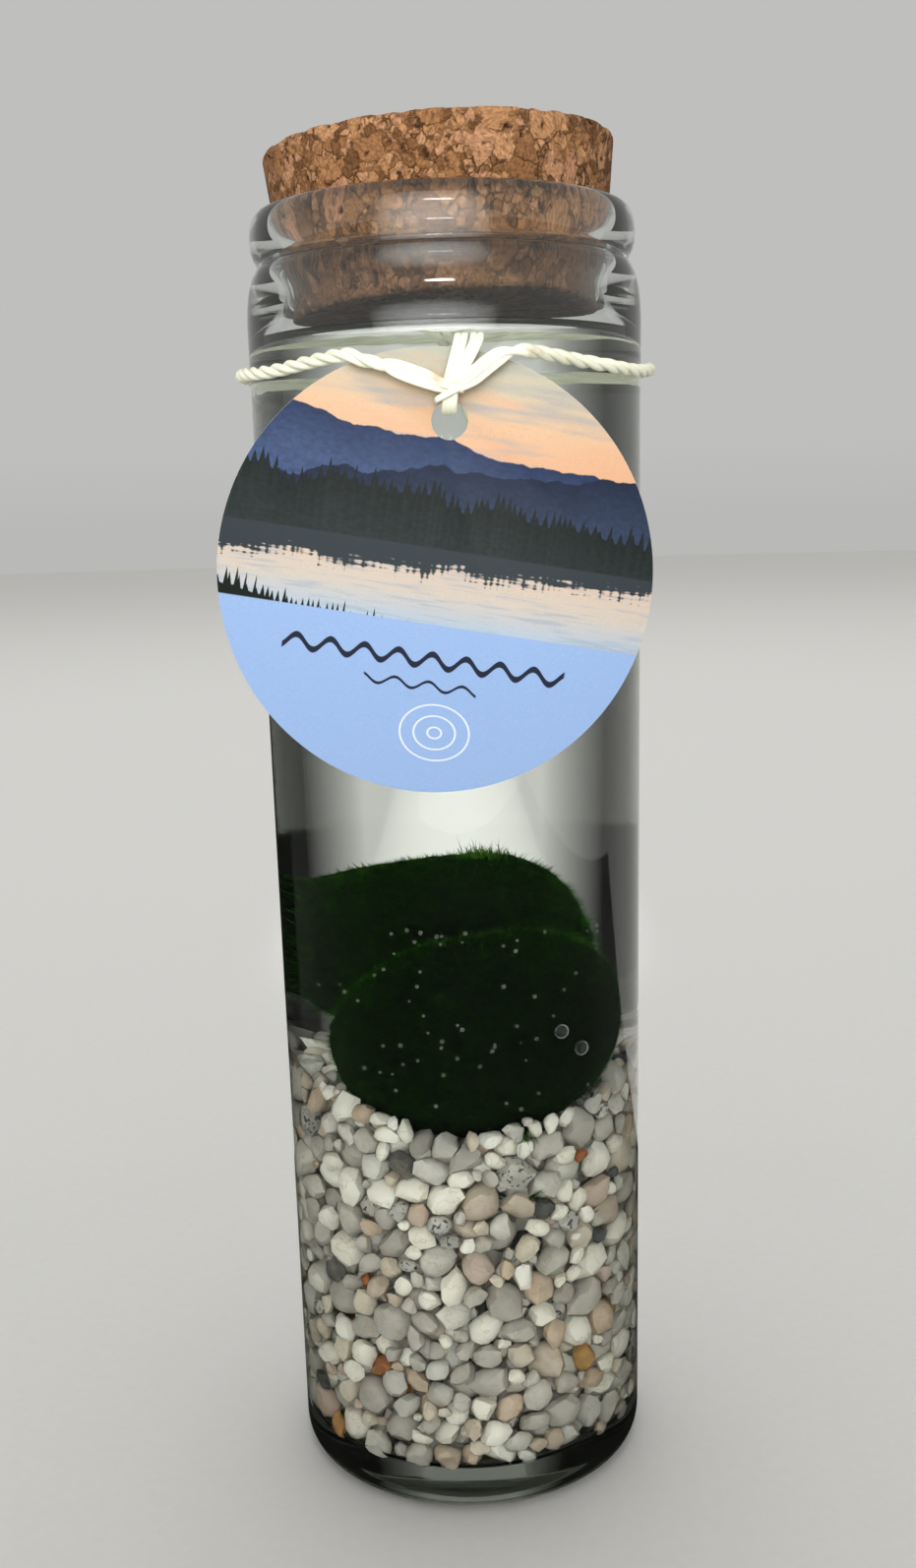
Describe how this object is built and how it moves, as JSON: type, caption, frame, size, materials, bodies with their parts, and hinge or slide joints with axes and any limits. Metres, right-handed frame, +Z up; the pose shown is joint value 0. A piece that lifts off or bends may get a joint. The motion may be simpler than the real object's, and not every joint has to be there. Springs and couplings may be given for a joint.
{
  "type": "marimo moss ball jar",
  "caption": "Tall round glass jar with a bead rim and a tapered cork, holding marimo moss on quartz gravel under water, with a round card tag on a cord round its neck.",
  "frame": {"origin": "on the jar's axis, on the surface that the jar stands on", "axes": "+Z up along the jar's axis, -Y to the front where the tag hangs, +X to the right as seen from the front"},
  "size_m": [0.0648, 0.0693, 0.2128],
  "materials": {
    "clear_glass": "clear flint glass, blown in a mould, smooth and glossy",
    "pressed_cork": "agglomerated cork granules, ground to a taper, matt",
    "clear_water": "still clear water",
    "quartz_gravel": "tumbled quartz pebbles of two to seven millimetres, wet",
    "marimo_moss": "dense fine green algae filaments, wet",
    "printed_card": "printed card with a silk coating",
    "paper_cord": "off-white twisted paper and cotton cord"
  },
  "bodies": {
    "root": {"glass_jar": "clear_glass", "cork_stopper": "pressed_cork", "water": "clear_water", "gravel_bed": "quartz_gravel", "moss_ball_front": "marimo_moss", "moss_ball_back": "marimo_moss", "hang_tag": "printed_card", "tag_cord": "paper_cord"}
  },
  "joints": []
}
